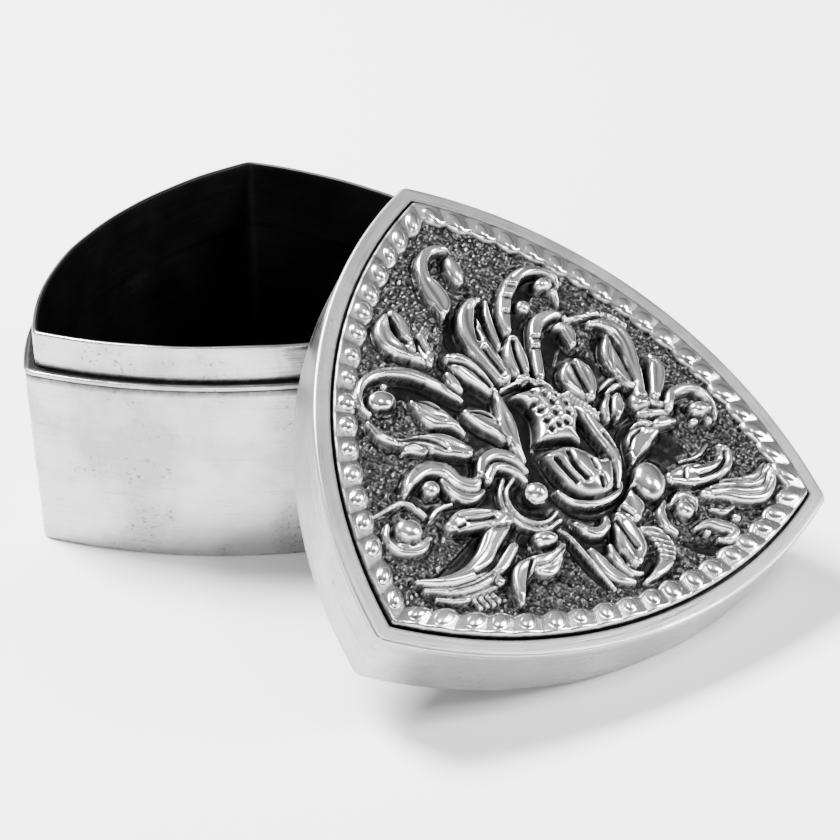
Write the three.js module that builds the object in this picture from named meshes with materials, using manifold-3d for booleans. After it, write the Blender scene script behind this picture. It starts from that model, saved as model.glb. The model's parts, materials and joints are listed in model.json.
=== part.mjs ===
// A small silver trinket box on a rounded three-sided plan, with a loose lid.
//
// Millimetres, +Z up. The origin is the middle of the box's underside, and the corner that points
// along +Y is the back corner of the box. The lid is modelled closed on the box, then carried by two
// turns to the place where it stands: its lower edge on the table, its skirt against the collar.
import * as THREE from 'three';
import Module from 'manifold-3d';
import { mergeVertices } from 'three/addons/utils/BufferGeometryUtils.js';

// Plan: three equal arcs that meet at three softened corners.
const SIDE = 50;              // corner to corner, along the chord
const ARC_RADIUS = 46.5;        // radius of each bulging side
const CORNER_RADIUS = 0.6;    // softening of each corner
const ARC_STEPS = 7;          // facets per arc, halved

// Box heights, from the table up.
const BASE_THICKNESS = 0.8;
const LEDGE_Z = 18.8;         // top of the seat rim, where the closed lid sits
const RIM_THICKNESS = 0.45;
const COLLAR_RISE = 3.6;      // collar above the ledge
const COLLAR_DROP = 4;        // collar below the ledge, inside the wall
const FOOT_SCALE = 0.984;     // plan of the foot against the plan at the ledge

// Insets from the outer plan.
const WALL_OUT = 0.12;
const WALL_IN = 0.95;
const COLLAR_OUT = 1.1;
const COLLAR_IN = 1.65;
const SEAM = 0.03;            // room at each soldered seam

// Lid.
const SKIRT_DEPTH = 6.7;
const SKIRT_THICKNESS = 0.6;
const FRAME_WIDTH = 1.6;
const FRAME_THICKNESS = 0.5;
const GROOVE = 0.45;          // dark groove between the frame and the panel
const FLANGE_THICKNESS = 0.5;
const FIELD_RISE = 0.25;      // raised field of the panel above the frame
const LID_SEAT_GAP = 0.1;     // closed skirt above the ledge

// Relief that stands on the panel.
const BLOOM = { x: 1.5, y: -2.0, turn: -0.1, length: 6.4, width: 4.3, height: 1.7 };
const LEAVES = [
  { x: -1.0, y: 14.5, turn: 0.0, length: 8.0, width: 3.0, height: 1.1 },
  { x: 7.5, y: 7.0, turn: -0.8, length: 6.0, width: 2.8, height: 1.2 },
  { x: -8.0, y: 5.5, turn: 0.8, length: 6.0, width: 2.8, height: 1.2 },
  { x: 14.5, y: -8.5, turn: -1.9, length: 6.0, width: 3.0, height: 1.1 },
  { x: -13.5, y: -8.0, turn: 1.9, length: 6.0, width: 3.0, height: 1.1 },
  { x: 3.5, y: -13.5, turn: 0.3, length: 4.6, width: 3.2, height: 1.0 },
  { x: -8.0, y: -13.5, turn: -0.9, length: 4.6, width: 3.0, height: 1.0 },
];
const BERRY = { x: -4.6, y: -6.2, z: 1.1, radius: 1.1, clearance: 0.3 };

// How the lid is carried off the box: a swing, and a turn about the berry that follows it.
const SWING_PIVOT = new THREE.Vector3(14.71, -19.53, 25.13);
const SWING_AXIS = directionFrom(37.0, -3.93);
const SWING_DEG = 204.7;
const TURN_AXIS = directionFrom(23.16, -7.0);
const TURN_PER_SWING = -0.85;

const wasm = await Module();
wasm.setup();

function directionFrom(azimuthDeg, elevationDeg) {
  const azimuth = THREE.MathUtils.degToRad(azimuthDeg);
  const elevation = THREE.MathUtils.degToRad(elevationDeg);
  const level = Math.cos(elevation);
  return new THREE.Vector3(level * Math.cos(azimuth), level * Math.sin(azimuth), Math.sin(elevation));
}

// ---------------------------------------------------------------- plan outlines

// Draws the plan, moved inwards by inset, on a Shape or a Path.
function planOutline(path, inset) {
  const chordOut = SIDE / (2 * Math.sqrt(3));
  const centreBack = Math.sqrt(ARC_RADIUS ** 2 - (SIDE / 2) ** 2) - chordOut;
  const soft = Math.max(CORNER_RADIUS - inset, 0);
  const reach = ARC_RADIUS - inset - soft;
  const across = centreBack * Math.sin(Math.PI / 3);
  const along = Math.sqrt(reach ** 2 - across ** 2);
  const cornerOut = along - centreBack / 2;
  const cornerLean = Math.asin(across / reach);
  const halfArc = Math.PI / 3 - cornerLean;
  for (let side = 0; side < 3; side += 1) {
    const facing = Math.PI / 2 + (side + 0.5) * (2 * Math.PI / 3);
    const centreX = -centreBack * Math.cos(facing);
    const centreY = -centreBack * Math.sin(facing);
    path.absarc(centreX, centreY, reach + soft, facing - halfArc, facing + halfArc, false);
    if (soft > 0) {
      const corner = facing + Math.PI / 3;
      const from = facing + halfArc;
      const to = 2 * corner - from;
      path.absarc(cornerOut * Math.cos(corner), cornerOut * Math.sin(corner), soft, from, to, false);
    }
  }
  path.closePath();
  return path;
}

// A strip or plate on the plan, from outer inset to inner inset (none: a full plate).
function strip(outerInset, innerInset, bottom, top) {
  const shape = planOutline(new THREE.Shape(), outerInset);
  if (innerInset !== null) {
    shape.holes.push(planOutline(new THREE.Path(), innerInset));
  }
  const options = { depth: top - bottom, bevelEnabled: false, curveSegments: ARC_STEPS };
  const geometry = new THREE.ExtrudeGeometry(shape, options);
  geometry.translate(0, 0, bottom);
  return geometry;
}

// Draws the plan in towards the foot, in proportion to the height.
function taperToFoot(geometry) {
  const points = geometry.attributes.position;
  for (let i = 0; i < points.count; i += 1) {
    const scale = FOOT_SCALE + (1 - FOOT_SCALE) * points.getZ(i) / LEDGE_Z;
    points.setXY(i, points.getX(i) * scale, points.getY(i) * scale);
  }
  geometry.computeVertexNormals();
  return geometry;
}

// ---------------------------------------------------------------- solids

function toSolid(geometry) {
  const bare = geometry.index ? geometry.toNonIndexed() : geometry.clone();
  bare.deleteAttribute('normal');
  bare.deleteAttribute('uv');
  const merged = mergeVertices(bare, 1e-5);
  return new wasm.Manifold(new wasm.Mesh({
    numProp: 3,
    vertProperties: new Float32Array(merged.attributes.position.array),
    triVerts: new Uint32Array(merged.index.array),
  }));
}

function toGeometry(solid) {
  const mesh = solid.getMesh();
  const geometry = new THREE.BufferGeometry();
  geometry.setAttribute('position', new THREE.BufferAttribute(mesh.vertProperties, 3));
  geometry.setIndex(new THREE.BufferAttribute(mesh.triVerts, 1));
  geometry.computeVertexNormals();
  return geometry;
}

// A smooth oval boss: length runs along the lid's Y before it is turned.
function boss({ x, y, turn, length, width, height }, level) {
  const geometry = new THREE.SphereGeometry(1, 12, 8);
  geometry.rotateX(Math.PI / 2);
  geometry.scale(width / 2, length / 2, height);
  geometry.rotateZ(turn);
  geometry.translate(x, y, level);
  return toSolid(geometry);
}

// ---------------------------------------------------------------- box

function makeBasePlate() {
  return taperToFoot(strip(WALL_IN + SEAM, null, 0, BASE_THICKNESS));
}

function makeBodyWall() {
  return taperToFoot(strip(WALL_OUT, WALL_IN, 0, LEDGE_Z - RIM_THICKNESS - SEAM));
}

function makeSeatRim() {
  return strip(0, COLLAR_OUT - SEAM, LEDGE_Z - RIM_THICKNESS, LEDGE_Z);
}

function makeCollar() {
  return strip(COLLAR_OUT, COLLAR_IN, LEDGE_Z - COLLAR_DROP, LEDGE_Z + COLLAR_RISE);
}

// ---------------------------------------------------------------- lid, about its top plane

function makeLidSkirt() {
  return strip(0, SKIRT_THICKNESS, -SKIRT_DEPTH, -FRAME_THICKNESS - SEAM);
}

function makeLidFrame() {
  return strip(0, FRAME_WIDTH, -FRAME_THICKNESS, 0);
}

function makeLidPanel() {
  const flangeTop = -FRAME_THICKNESS - SEAM;
  const flange = strip(SKIRT_THICKNESS + SEAM, null, flangeTop - FLANGE_THICKNESS, flangeTop);
  const field = strip(FRAME_WIDTH + GROOVE, null, flangeTop - FLANGE_THICKNESS / 2, FIELD_RISE);
  let panel = toSolid(flange).add(toSolid(field));
  for (const relief of [BLOOM, ...LEAVES]) {
    const floor = new THREE.BoxGeometry(SIDE, SIDE, 10);
    floor.translate(0, 0, flangeTop - 5);
    panel = panel.add(boss(relief, FIELD_RISE).subtract(toSolid(floor)));
  }
  const socket = new THREE.SphereGeometry(BERRY.radius + BERRY.clearance, 16, 12);
  socket.translate(BERRY.x, BERRY.y, BERRY.z);
  return toGeometry(panel.subtract(toSolid(socket)));
}

function makeBerry() {
  const geometry = new THREE.SphereGeometry(BERRY.radius, 16, 12);
  geometry.translate(BERRY.x, BERRY.y, BERRY.z);
  return geometry;
}

// ---------------------------------------------------------------- assembly

const SILVER = { color: 0xc9c9c6, roughness: 0.28, metalness: 1 };
const SATIN = { color: 0xb4b4b0, roughness: 0.38, metalness: 1 };
const OXIDISED = { color: 0x75756f, roughness: 0.45, metalness: 1 };

function addMesh(group, name, geometry, look) {
  const mesh = new THREE.Mesh(geometry, new THREE.MeshStandardMaterial(look));
  mesh.name = name;
  group.add(mesh);
}

// Turns a child about an axis through a fixed point.
function hingeGroup(pivot, axis, angle) {
  const group = new THREE.Group();
  group.quaternion.setFromAxisAngle(axis, angle);
  group.position.copy(pivot).sub(pivot.clone().applyQuaternion(group.quaternion));
  return group;
}

const trinketBox = new THREE.Group();

addMesh(trinketBox, 'base_plate', makeBasePlate(), SATIN);
addMesh(trinketBox, 'body_wall', makeBodyWall(), SILVER);
addMesh(trinketBox, 'seat_rim', makeSeatRim(), SILVER);
addMesh(trinketBox, 'collar', makeCollar(), SILVER);

const lidTop = LEDGE_Z + LID_SEAT_GAP + SKIRT_DEPTH;
const berryCentre = new THREE.Vector3(BERRY.x, BERRY.y, lidTop + BERRY.z);
const swing = THREE.MathUtils.degToRad(SWING_DEG);
const swingGroup = hingeGroup(SWING_PIVOT, SWING_AXIS, swing);
const turnGroup = hingeGroup(berryCentre, TURN_AXIS, swing * TURN_PER_SWING);
const lid = new THREE.Group();
lid.position.z = lidTop;

addMesh(lid, 'lid_skirt', makeLidSkirt(), SILVER);
addMesh(lid, 'lid_frame', makeLidFrame(), SATIN);
addMesh(lid, 'lid_panel', makeLidPanel(), OXIDISED);
addMesh(lid, 'lid_berry', makeBerry(), OXIDISED);

turnGroup.add(lid);
swingGroup.add(turnGroup);
trinketBox.add(swingGroup);

export default trinketBox;
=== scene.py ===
"""A three-sided silver trinket box with its embossed lid leaning against it.

Plan and relief sizes are in millimetres and become metres when a mesh is made.
Lid sizes are in the lid's own frame: origin at the middle of its top, y towards one corner.
"""

import json
import math

import bmesh
import bpy
import numpy as np
from mathutils import Matrix, Vector, noise


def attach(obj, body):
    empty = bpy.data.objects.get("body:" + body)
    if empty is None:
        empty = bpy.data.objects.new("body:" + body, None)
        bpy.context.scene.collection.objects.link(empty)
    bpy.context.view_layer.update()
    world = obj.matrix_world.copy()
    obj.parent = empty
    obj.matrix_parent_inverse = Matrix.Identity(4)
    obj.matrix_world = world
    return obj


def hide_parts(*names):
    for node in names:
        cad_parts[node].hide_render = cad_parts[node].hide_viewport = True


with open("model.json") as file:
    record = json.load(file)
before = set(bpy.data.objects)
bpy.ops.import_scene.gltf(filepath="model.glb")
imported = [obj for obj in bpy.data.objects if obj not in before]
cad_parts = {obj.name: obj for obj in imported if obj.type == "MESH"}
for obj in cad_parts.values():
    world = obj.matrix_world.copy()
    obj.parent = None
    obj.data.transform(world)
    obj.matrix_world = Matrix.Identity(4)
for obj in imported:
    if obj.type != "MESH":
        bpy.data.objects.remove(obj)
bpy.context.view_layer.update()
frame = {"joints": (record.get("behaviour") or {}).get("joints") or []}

MM = 0.001

# Plan: three equal arcs, each centred on the far side of the plan's middle.
SIDE = 50.0
ARC_RADIUS = 46.5
ARC_CENTRE = math.sqrt(ARC_RADIUS**2 - (SIDE / 2) ** 2) - SIDE / (2 * math.sqrt(3))
SIDE_ANGLES = (30.0, 150.0, 270.0)
BOX_CORNER = 1.7
LID_CORNER = 1.0
SMALLEST_CORNER = 0.3
CORNER_LOSS = 0.3  # how much a corner's radius shrinks for each mm of inset

# Box.
WALL_TOP = 18.32
LEDGE_Z = 18.8
FOOT_SCALE = 0.984
COLLAR_TOP = 22.4
COLLAR_FOOT = 14.8
COLLAR_OUT = 1.1
COLLAR_IN = 1.65
WALL_OUT = 0.12
WALL_IN = 0.95
LEDGE_IN = 1.07
BASE_INSET = 0.99
BASE_THICKNESS = 0.8

# Lid.
SKIRT_DEPTH = 6.7
SKIRT_TOP = -0.49
SKIRT_THICKNESS = 0.6
FRAME_WIDTH = 1.6
FRAME_BACK = -0.5
LID_TOP_CLOSED = 25.6
PANEL_BACK = -0.53
LINING_BACK = -1.03
LINING_INSET = 0.66

# Relief: heights over the lid's top plane, then the sizes of its forms and its border.
GROUND = 0.05
DEEPEST = -0.34
HOLLOW = -0.3
GRID = 0.118
GROUND_TARNISH = 0.78
FIELD_INSET = 3.5
MOAT = 0.6  # width of the ditch round a form
SINK = 0.36  # depth of that ditch
SPREAD = 1.22  # leaves are made this much wider than their strokes say
RISE = 1.15  # and forms and grooves this much higher and deeper
LEAF_LIP = 0.3  # share of the height already reached at a form's edge
BOSS_LIP = 0.25
FLUTE = 0.3  # dip along the middle of a wide leaf
FLUTE_WIDTH = 0.42
CROWN_POWER = 2.3  # 2 is a round crest, more is flatter
STIPPLED_BAND = 11.0
BORDER_OUT = 1.75
BORDER_IN = 4.35
BEAD_INSET = 3.12
BEAD_PITCH = 2.6
MELT_START = 56.0  # degrees round from the left side's middle where the beads start to run together
MELT_SPREAD = 8.0
BERRY = (-4.6, -6.2, 1.1)
BERRY_RADIUS = 1.1
BERRY_GAP = 0.32
BERRY_MARGIN = 0.25
BERRY_MARGIN_TOP = 0.75
SEED = 7


# ---------------- plan outline


def heading(angle):
    """The unit vector at an angle in radians."""
    return np.array([math.cos(angle), math.sin(angle)])


def direction(degrees):
    return heading(math.radians(degrees))


def plan_outline(inset, corner=LID_CORNER, side_steps=60, corner_steps=8):
    """Points round the plan at a given inset, counter-clockwise, the same count for every inset."""
    radius = ARC_RADIUS - inset
    fillet = max(corner - inset * CORNER_LOSS, SMALLEST_CORNER)
    reach = radius - fillet
    centre_out = (-ARC_CENTRE + math.sqrt(4 * reach**2 - 3 * ARC_CENTRE**2)) / 2
    points = []
    for side in SIDE_ANGLES:
        arc_centre = -ARC_CENTRE * direction(side)
        start = centre_out * direction(side - 60)
        end = centre_out * direction(side + 60)
        first = math.atan2(*(start - arc_centre)[::-1])
        last = math.atan2(*(end - arc_centre)[::-1])
        if last < first:
            last += 2 * math.pi
        for angle in np.linspace(first, last, side_steps):
            points.append(arc_centre + radius * heading(angle))
        half_turn = math.radians(side + 60) - last % (2 * math.pi)
        half_turn = (half_turn + math.pi) % (2 * math.pi) - math.pi
        for angle in np.linspace(last, last + 2 * half_turn, corner_steps + 2)[1:-1]:
            points.append(end + fillet * heading(angle))
    return np.array(points)


def inset_at(x, y):
    """How far inside the plan's edge each point lies."""
    farthest = np.zeros_like(x)
    for side in SIDE_ANGLES:
        centre = -ARC_CENTRE * direction(side)
        farthest = np.maximum(farthest, np.hypot(x - centre[0], y - centre[1]))
    return ARC_RADIUS - farthest


# ---------------- meshes


def lid_place():
    """Where the lid rests: its closed place, carried back through the full range of both joints."""
    closing = Matrix.Identity(4)
    for joint in frame["joints"]:
        pivot = Vector(joint["pos_m"])
        closed = math.radians(joint["range_deg"][1])
        turn = Matrix.Rotation(closed, 4, Vector(joint["axis"]))
        closing = closing @ Matrix.Translation(pivot) @ turn @ Matrix.Translation(-pivot)
    return closing.inverted() @ Matrix.Translation((0, 0, LID_TOP_CLOSED * MM))


LEANING = lid_place()
PLACES = {"box": Matrix.Identity(4), "lid": LEANING, "lid_carrier": LEANING}


def make_piece(name, shape, body, replaced, finish, tarnish_and_shade, sharp=40):
    """A closed mesh from points in millimetres, set in place, riding on its body."""
    vertices, faces, grain = shape
    mesh = bpy.data.meshes.new(name)
    mesh.from_pydata((vertices * MM).tolist(), [], faces)
    layer = mesh.attributes.new("grain", "FLOAT_VECTOR", "POINT")
    layer.data.foreach_set("vector", grain.astype(np.float32).ravel())
    # Per-point darkening: tarnish, and painted shade in the creases by the collar.
    layer = mesh.attributes.new("tarnish_and_shade", "FLOAT", "POINT")
    layer.data.foreach_set("value", tarnish_and_shade.astype(np.float32))
    work = bmesh.new()
    work.from_mesh(mesh)
    bmesh.ops.recalc_face_normals(work, faces=work.faces)
    work.to_mesh(mesh)
    work.free()
    mesh.transform(PLACES[body])
    mesh.shade_smooth()
    mesh.set_sharp_from_angle(angle=math.radians(sharp))
    piece = bpy.data.objects.new(name, mesh)
    bpy.context.scene.collection.objects.link(piece)
    material, slot = finish
    mesh.materials.append(material)
    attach(piece, body)
    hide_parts(*replaced)


def rounded(profile, radii, steps=4):
    """A closed profile with each of its corners eased by a radius of its own."""
    points = np.asarray(profile, float)
    eased = []
    for i, (corner, radius) in enumerate(zip(points, radii)):
        back = points[i - 1] - corner
        ahead = points[(i + 1) % len(points)] - corner
        start = corner + back / np.linalg.norm(back) * radius
        end = corner + ahead / np.linalg.norm(ahead) * radius
        for t in np.linspace(0, 1, steps + 1):
            eased.append((1 - t) ** 2 * start + 2 * t * (1 - t) * corner + t**2 * end)
    return np.array(eased)


def subdivided(profile, longest):
    """A closed profile with no step longer than the one given."""
    points = []
    for i, start in enumerate(profile):
        end = profile[(i + 1) % len(profile)]
        count = max(1, math.ceil(np.linalg.norm(end - start) / longest))
        points += [start + (end - start) * k / count for k in range(count)]
    return np.array(points)


def ring_faces(rings, count, closed=False):
    """Quads between rings of points; closed joins the last ring to the first."""
    faces = []
    for k in range(rings if closed else rings - 1):
        below, above = k * count, (k + 1) % rings * count
        for i in range(count):
            j = (i + 1) % count
            faces.append((below + i, below + j, above + j, above + i))
    return faces


def sweep(profile, corner=LID_CORNER, shape=None, side_steps=60):
    """A closed profile of (inset, z) carried round the plan: vertices, faces and the grain of the metal."""
    columns = [plan_outline(inset, corner, side_steps) for inset, _ in profile]
    count = len(columns[0])
    across = np.concatenate([[0], np.cumsum(np.linalg.norm(np.diff(profile, axis=0), axis=1))])
    angles = np.linspace(0, 2 * math.pi, count, endpoint=False)
    girth = np.column_stack([np.cos(angles), np.sin(angles)]) * SIDE / 2
    vertices, grain = [], []
    for column, (_, z), distance in zip(columns, profile, across):
        vertices.append(np.column_stack([column, np.full(count, z)]))
        grain.append(np.column_stack([girth, np.full(count, distance)]))
    vertices = np.vstack(vertices)
    if shape:
        vertices = shape(vertices)
    return vertices, ring_faces(len(profile), count, closed=True), np.vstack(grain)


def waves(vertices, per_mm, height, offset=(0, 0, 0)):
    """A soft unevenness at each point."""
    offset = Vector(offset)
    return np.array([noise.noise(Vector(point) * per_mm + offset) * height for point in vertices])


def outwards(vertices):
    """The level direction away from the middle at each point."""
    return vertices[:, :2] / np.linalg.norm(vertices[:, :2], axis=1)[:, None]


def tapered(vertices):
    """The wall draws in slightly towards the foot and has a hand-worked unevenness."""
    z = vertices[:, 2]
    scale = FOOT_SCALE + (1 - FOOT_SCALE) * z / WALL_TOP
    swell = waves(vertices, per_mm=0.11, height=0.10) + waves(vertices, per_mm=0.35, height=0.03)
    swell *= np.minimum(1, np.minimum(z / 3, (WALL_TOP - z) / 2 + 0.1))
    worked = vertices.copy()
    worked[:, :2] = vertices[:, :2] * scale[:, None] + outwards(vertices) * swell[:, None]
    return worked


def plate(inset, corner, bottom, top, edge, rings=14, sag=None):
    """A closed plate filling the plan at an inset, with an eased edge."""
    outline = plan_outline(inset, corner)
    count = len(outline)
    sizes = np.linspace(0, 1, rings + 1)[1:-1]
    inner = 1 - edge / 20
    rows = [(size, bottom) for size in sizes]
    rows += [(inner, bottom), (1, bottom + edge), (1, top - edge), (inner, top)]
    rows += [(size, top) for size in sizes[::-1]]
    vertices = [np.column_stack([outline * size, np.full(count, z)]) for size, z in rows]
    vertices = np.vstack(vertices + [[(0, 0, bottom), (0, 0, top)]])
    if sag:
        vertices = sag(vertices)
    faces = ring_faces(len(rows), count)
    low, high = len(rows) * count, len(rows) * count + 1
    last = low - count
    for i in range(count):
        j = (i + 1) % count
        faces += [(j, i, low), (last + i, last + j, high)]
    return vertices, faces, vertices


# ---------------- relief
# Every stroke is listed one by one: a leaf or channel is rows of (x, y, half width), then its height
# or floor; a boss is x, y, two half sizes and a height; a groove is points, a width and a depth;
# a patch is its outline, its height and how far in from the edge it goes on rising.


def smooth_line(rows, steps=9):
    """A curve through given rows of (x, y) or (x, y, half width)."""
    rows = np.asarray(rows, float)
    if len(rows) == 2:
        rows = np.vstack([rows[0], rows.mean(0), rows[1]])
    padded = np.vstack([2 * rows[0] - rows[1], rows, 2 * rows[-1] - rows[-2]])
    curve = []
    for a, b, c, d in zip(padded, padded[1:], padded[2:], padded[3:]):
        for t in np.arange(steps) / steps:
            bend = 2 * a - 5 * b + 4 * c - d
            twist = 3 * b - a - 3 * c + d
            curve.append(0.5 * (2 * b + (c - a) * t + bend * t**2 + twist * t**3))
    return np.array(curve + [rows[-1]])


def blurred(heights, reach):
    """The heights averaged over a distance in millimetres."""
    cells = reach / GRID
    offsets = np.arange(-int(3 * cells), int(3 * cells) + 1)
    weights = np.exp(-0.5 * (offsets / cells) ** 2)
    weights /= weights.sum()
    for axis in (0, 1):
        padding = [(0, 0), (0, 0)]
        padding[axis] = (len(offsets) // 2,) * 2
        padded = np.pad(heights, padding, mode="edge")
        heights = np.apply_along_axis(np.convolve, axis, padded, weights, "valid")
    return heights


class Relief:
    """The embossed sheet as a height over a grid; each call raises or cuts one form."""

    def __init__(self):
        self.x = np.arange(-24, 24, GRID)
        self.y = np.arange(-20, 26.5, GRID)
        self.grid_x, self.grid_y = np.meshgrid(self.x, self.y)
        self.z = np.full(self.grid_x.shape, GROUND)
        self.stain = np.full(self.grid_x.shape, GROUND_TARNISH)

    def window(self, low, high):
        """The rows and columns of the grid between two corners."""
        columns = slice(*np.searchsorted(self.x, (low[0], high[0])))
        rows = slice(*np.searchsorted(self.y, (low[1], high[1])))
        return rows, columns

    def around(self, x, y, reach):
        return self.window((x - reach, y - reach), (x + reach, y + reach))

    def near(self, line, reach):
        """The window of grid points near a line, with their distance and the line's width there."""
        window = self.window(line[:, :2].min(0) - reach, line[:, :2].max(0) + reach)
        px = self.grid_x[window][..., None]
        py = self.grid_y[window][..., None]
        ax, ay = line[:-1, 0], line[:-1, 1]
        dx, dy = np.diff(line[:, 0]), np.diff(line[:, 1])
        along = ((px - ax) * dx + (py - ay) * dy) / (dx**2 + dy**2 + 1e-12)
        along = np.clip(along, 0, 1)
        distance = np.hypot(px - ax - along * dx, py - ay - along * dy)
        nearest = distance.argmin(-1)[..., None]
        distance = np.take_along_axis(distance, nearest, -1)[..., 0]
        share = np.take_along_axis(along, nearest, -1)[..., 0]
        nearest = nearest[..., 0]
        width = line[:, -1] if line.shape[1] == 3 else np.zeros(len(line))
        width = width[nearest] * (1 - share) + width[nearest + 1] * share
        return window, distance, width

    def leaf(self, rows, height=0.95, sink=SINK):
        """A raised leaf or scroll along a line, cut clear of the ground round its edge."""
        line = smooth_line(rows)
        line[:, 2] = np.maximum(line[:, 2] * SPREAD, 0.12)
        window, distance, width = self.near(line, line[:, 2].max() + MOAT)
        hollow = FLUTE * np.clip((width - 0.42) / 0.5, 0, 1)
        tall = height * np.clip(0.4 + 1.2 * width, 0, 1)
        self.raise_form(window, distance / width, distance - width, tall, LEAF_LIP, sink, hollow)

    def boss(self, x, y, half_x, half_y, height, turn=0, sink=SINK):
        """A raised oval."""
        window = self.around(x, y, max(half_x, half_y) + MOAT)
        east, north = direction(turn), direction(turn + 90)
        dx = self.grid_x[window] - x
        dy = self.grid_y[window] - y
        out = np.hypot((dx * east[0] + dy * east[1]) / half_x, (dx * north[0] + dy * north[1]) / half_y)
        beyond = (out - 1) * min(half_x, half_y)
        self.raise_form(window, out, beyond, height, BOSS_LIP, sink)

    def raise_form(self, window, out, beyond, height, lip, sink, hollow=0.0):
        """Lift a form over a sunk moat; out is 0 at its crest and 1 at its edge, beyond is in mm past it."""
        ground = self.z[window]
        clear = np.clip(1 - beyond / MOAT, 0, 1) ** 2 * (beyond > 0)
        ground = np.maximum(ground - sink * clear, np.minimum(ground, DEEPEST))
        share = np.clip(out, 0, 1)
        swell = np.sqrt(1 - share**CROWN_POWER) - hollow * np.exp(-((share / FLUTE_WIDTH) ** 2))
        crown = GROUND + RISE * height * (lip + (1 - lip) * swell)
        cover = np.clip(0.5 - beyond / GRID, 0, 1)
        self.z[window] = ground * (1 - cover) + np.maximum(ground, crown) * cover
        edge = 0.55 * share**8
        around = np.maximum(self.stain[window], clear * min(1, sink * 3))
        self.stain[window] = around * (1 - cover) + edge * cover

    def patch(self, outline, height, shoulder):
        """A raised area with a given outline, swelling away from its edge."""
        line = smooth_line(list(outline) + [outline[0]], steps=5)
        window, distance, _ = self.near(line, MOAT)
        px, py = self.grid_x[window], self.grid_y[window]
        inside = np.zeros(px.shape, bool)
        for (ax, ay), (bx, by) in zip(line[:-1, :2], line[1:, :2]):
            crosses = (ay > py) != (by > py)
            slope = (bx - ax) / (by - ay if by != ay else 1e-9)
            inside ^= crosses & (px < ax + (py - ay) * slope)
        signed = np.where(inside, -distance, distance)
        out = 1 - np.clip(-signed / shoulder, 0, 1)
        self.raise_form(window, out, signed, height, LEAF_LIP, SINK)

    def groove(self, rows, width, depth):
        """A chased line."""
        line = smooth_line(rows)
        window, distance, _ = self.near(line, 3 * width)
        cut = np.exp(-((distance / width) ** 2))
        self.z[window] -= depth * RISE * cut
        self.stain[window] = np.maximum(self.stain[window], np.clip(cut * 2.6 * depth, 0, 1))

    def channel(self, rows, floor):
        """A hollow along a line, with its half width given at each row."""
        line = smooth_line(rows)
        window, distance, width = self.near(line, line[:, 2].max() + 0.3)
        share = np.clip((width - distance) / 0.22 + 0.5, 0, 1)
        share = share * share * (3 - 2 * share)
        current = self.z[window]
        self.z[window] = current * (1 - share) + np.minimum(current, floor) * share
        self.stain[window] = np.maximum(self.stain[window], share * 0.97)

    def dot(self, x, y, radius, depth):
        """A round punch mark."""
        window = self.around(x, y, 2 * radius)
        out = np.hypot(self.grid_x[window] - x, self.grid_y[window] - y) / radius
        mark = np.exp(-(out**4))
        self.z[window] -= depth * mark
        self.stain[window] = np.maximum(self.stain[window], mark * min(1, depth * 3))

    def stipple(self):
        """Punch marks all over the ground, close together and uneven in size."""
        pick = np.random.default_rng(SEED)
        spacing, scatter = 0.55, 0.45
        inset = inset_at(self.grid_x, self.grid_y)
        ground = (self.z < GROUND + 0.04) & (self.z > GROUND - 0.2)
        ground &= inset < STIPPLED_BAND
        self.z[ground] += 0.07
        self.stain[ground] -= 0.03
        for x in np.arange(-23, 23, spacing):
            for y in np.arange(-19, 25.5, spacing):
                px, py = np.array([x, y]) + pick.uniform(-scatter, scatter, 2) * spacing
                radius = pick.uniform(0.15, 0.27)
                depth = pick.uniform(0.16, 0.34)
                i, j = np.searchsorted(self.y, py), np.searchsorted(self.x, px)
                if ground[i, j]:
                    self.dot(px, py, radius, depth)
        smooth = (self.z < GROUND + 0.04) & (inset >= STIPPLED_BAND)
        self.z[smooth] -= 0.12
        self.stain[smooth] = np.maximum(self.stain[smooth], 0.88)


def draw_hollows(r):
    """The deep smooth valleys beside the forms, cut before anything is raised."""
    for rows in (
        [(-3.3, 8.6, 0.4), (-3.9, 10.8, 0.7), (-3.3, 12.8, 0.5), (-2.6, 14.4, 0.3)],
        [(0.7, 13.4, 0.3), (0.9, 11.8, 0.7), (0.9, 10.2, 0.5)],
        [(3.6, 11.4, 0.4), (4.6, 13.3, 1.2), (6.0, 14.7, 1.1), (7.6, 15.1, 0.8)],
        [(4.8, 6.6, 0.4), (5.6, 8.3, 0.9), (6.8, 9.3, 0.9)],
        [(10.0, 5.4, 0.4), (10.7, 7.3, 0.8), (12.0, 8.0, 0.5)],
        [(-12.8, 8.3, 0.4), (-11.3, 7.7, 0.9), (-9.8, 6.9, 0.9), (-8.4, 5.8, 0.5)],
        [(-7.6, 5.5, 0.4), (-6.6, 5.0, 0.7), (-5.2, 5.5, 0.7), (-4.2, 4.5, 0.5)],
        [(-10.4, -7.9, 0.4), (-11.9, -8.9, 0.8), (-13.7, -9.8, 0.8), (-15.6, -10.5, 0.6),
         (-17.6, -11.0, 0.3)],
        [(-6.1, -8.9, 0.3), (-7.3, -9.6, 0.6), (-7.9, -10.9, 0.5), (-7.2, -11.9, 0.3)],
        [(-2.3, -10.6, 0.4), (-1.0, -12.2, 0.7), (0.5, -12.7, 0.6), (1.3, -11.9, 0.4)],
        [(-2.1, -11.6, 0.3), (-2.3, -13.2, 0.5), (-2.0, -15.0, 0.5), (-1.2, -16.6, 0.3)],
        [(0.9, -13.5, 0.4), (1.0, -15.0, 0.7), (2.4, -15.7, 0.7), (3.7, -15.0, 0.5)],
        [(8.0, -14.5, 0.4), (9.6, -15.6, 0.6), (11.5, -16.2, 0.5)],
        [(8.9, -5.9, 0.25), (9.8, -7.2, 0.4), (9.7, -8.9, 0.4), (9.0, -10.0, 0.25)],
    ):
        r.channel(rows, HOLLOW)


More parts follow.
